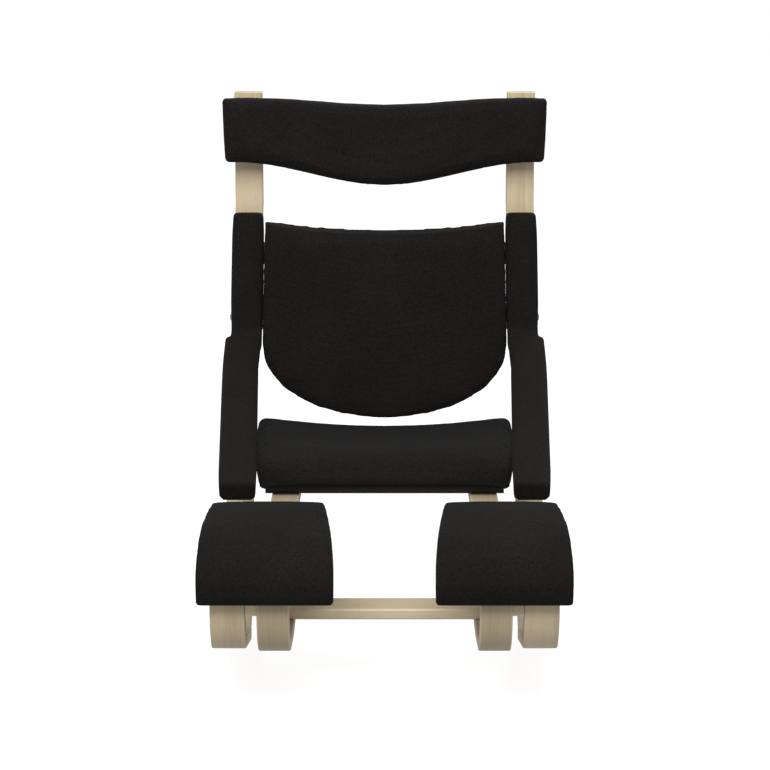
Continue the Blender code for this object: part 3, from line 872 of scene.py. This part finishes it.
def make_bolts():
    for node in sorted(NODES):
        if "bolt" not in node:
            continue
        top, out, length = axis_of(node)
        profile = [(radius, -depth) for radius, depth in SCREW_HEAD]
        profile.append((SHANK_RADIUS, TIP_CHAMFER - length))
        profile.append((SHANK_TIP_RADIUS, -length))
        profile.append((0.0, -length))
        mesh = turned_mesh(f"{node}_screw", profile, SCREW_STEPS, STEEL, hexagon)
        made = placed(f"{node}_screw", mesh, top, out)
        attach(made, "frame")
        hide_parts(node)


def make_knobs():
    joints = {joint["name"]: joint for joint in frame["joints"]}
    for label, _side in SIDES:
        node = f"clamp_knob_{label}"
        joint = joints[f"knob_{label}_turn"]
        out = Vector(joint["axis"]).normalized()
        points = points_of(NODES[node].data)
        along = (points - np.array(joint["pos_m"])) @ np.array(out)
        high = float(along.max())
        low = float(along.min())
        profile = [(radius, high - depth) for radius, depth in KNOB_GRIP]
        profile.append((STUD_RADIUS, low + TIP_CHAMFER))
        profile.append((STUD_TIP_RADIUS, low))
        profile.append((0.0, low))
        mesh = turned_mesh(f"{node}_grip", profile, KNOB_STEPS, PLASTIC, lobed)
        made = placed(f"{node}_grip", mesh, Vector(joint["pos_m"]), out)
        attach(made, f"knob_{label}")
        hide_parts(node)


# Setting
def stand_round(name, work, material):
    """A stage mesh that is seen, but neither lights, mirrors nor shades the object."""
    mesh = bpy.data.meshes.new(name)
    work.to_mesh(mesh)
    work.free()
    mesh.materials.append(material)
    stood = bpy.data.objects.new(name, mesh)
    stood.location = (0.0, 0.0, -FLOOR_DROP)
    stood.visible_diffuse = False
    stood.visible_glossy = False
    stood.visible_shadow = False
    bpy.context.scene.collection.objects.link(stood)


def make_setting():
    scene = bpy.context.scene
    scene.view_settings.view_transform = "Standard"
    world = bpy.data.worlds.new("studio")
    scene.world = world
    world.use_nodes = True
    world.node_tree.nodes["Background"].inputs["Color"].default_value = (1.0, 1.0, 1.0, 1.0)
    world.node_tree.nodes["Background"].inputs["Strength"].default_value = WORLD_STRENGTH
    pale, _tree, shader, _add = shader_of("pale_surround", 0.9)
    shader.inputs["Base Color"].default_value = (0.30, 0.30, 0.30, 1.0)
    shader.inputs["Emission Color"].default_value = (1.0, 1.0, 1.0, 1.0)
    shader.inputs["Emission Strength"].default_value = SURROUND_GLOW
    shader.inputs["Specular IOR Level"].default_value = 0.0
    floor = bmesh.new()
    bmesh.ops.create_grid(floor, x_segments=1, y_segments=1, size=FLOOR_REACH)
    stand_round("floor", floor, pale)
    surround = bmesh.new()
    bmesh.ops.create_uvsphere(surround, u_segments=48, v_segments=24, radius=SURROUND_RADIUS)
    stand_round("surround", surround, pale)
    for name, place, target, size, power in LIGHTS:
        data = bpy.data.lights.new(name, "AREA")
        data.size = size
        data.energy = power
        light = bpy.data.objects.new(name, data)
        light.location = place
        aim = Vector(target) - Vector(place)
        light.rotation_euler = aim.to_track_quat("-Z", "Y").to_euler()
        scene.collection.objects.link(light)


def make_camera():
    """16 degrees above level, looking straight along +Y."""
    data = bpy.data.cameras.new("camera")
    data.sensor_width = SENSOR_WIDTH
    data.lens = LENS
    camera = bpy.data.objects.new("camera", data)
    camera.location = CAMERA_PLACE
    camera.rotation_euler = (CAMERA_TILT, 0.0, 0.0)
    bpy.context.scene.collection.objects.link(camera)
    bpy.context.scene.camera = camera


def dress_kept_nodes():
    for node in ("front_crossbar", "rear_crossbar", "lower_back_rail", "upper_back_rail"):
        dress(node, BAR_WOOD)
    for label, _side in SIDES:
        dress(f"nose_spacer_{label}", BAR_WOOD)
        dress(f"headrest_clamp_{label}", STEEL)
        dress(f"leg_board_{label}", STAINED)
    for node in ("seat_board", "back_board", "headrest_board"):
        dress(node, STAINED)


make_camera()
dress_kept_nodes()
make_laminations()
make_upholstery()
make_bolts()
make_knobs()
make_setting()
